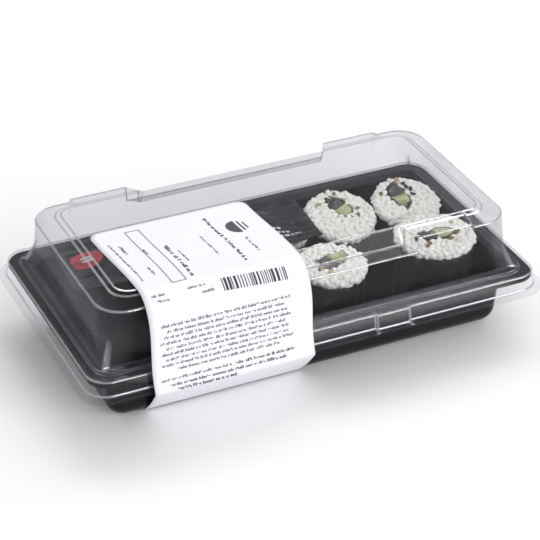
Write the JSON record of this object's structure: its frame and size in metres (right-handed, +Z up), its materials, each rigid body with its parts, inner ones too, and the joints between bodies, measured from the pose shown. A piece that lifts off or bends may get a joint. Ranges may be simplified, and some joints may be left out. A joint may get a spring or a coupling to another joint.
{
  "type": "takeaway sushi tray",
  "caption": "Shut takeaway pack: rimmed black tray, clear raised lid with corner gussets and side recesses, paper band label, sauce sachet and upright cucumber rolls.",
  "frame": {"origin": "under the middle of the pack, on the surface it stands on", "axes": "+Z up, +X along the long side, to the right of the side that the label wraps; +Y to the back"},
  "size_m": [0.1982, 0.1124, 0.0543],
  "materials": {
    "tray": "glossy black formed plastic",
    "lid": "clear formed plastic, slightly milky",
    "label": "white paper with plain grey print",
    "sachet": "dark grey film",
    "rice": "cooked white rice",
    "nori": "dark pressed seaweed",
    "cucumber": "wet pale green cucumber with dark skin"
  },
  "bodies": {
    "root": {"cucumber_back_left": "cucumber", "cucumber_back_middle": "cucumber", "cucumber_back_right": "cucumber", "cucumber_front_left": "cucumber", "cucumber_front_middle": "cucumber", "cucumber_front_right": "cucumber", "fold_back_left": "nori", "fold_back_middle": "nori", "fold_back_right": "nori", "fold_front_left": "nori", "fold_front_middle": "nori", "fold_front_right": "nori", "label": "label", "lid": "lid", "nori_back_left": "nori", "nori_back_middle": "nori", "nori_back_right": "nori", "nori_front_left": "nori", "nori_front_middle": "nori", "nori_front_right": "nori", "rice_back_left": "rice", "rice_back_middle": "rice", "rice_back_right": "rice", "rice_front_left": "rice", "rice_front_middle": "rice", "rice_front_right": "rice", "sachet": "sachet", "tray": "tray"}
  },
  "joints": []
}
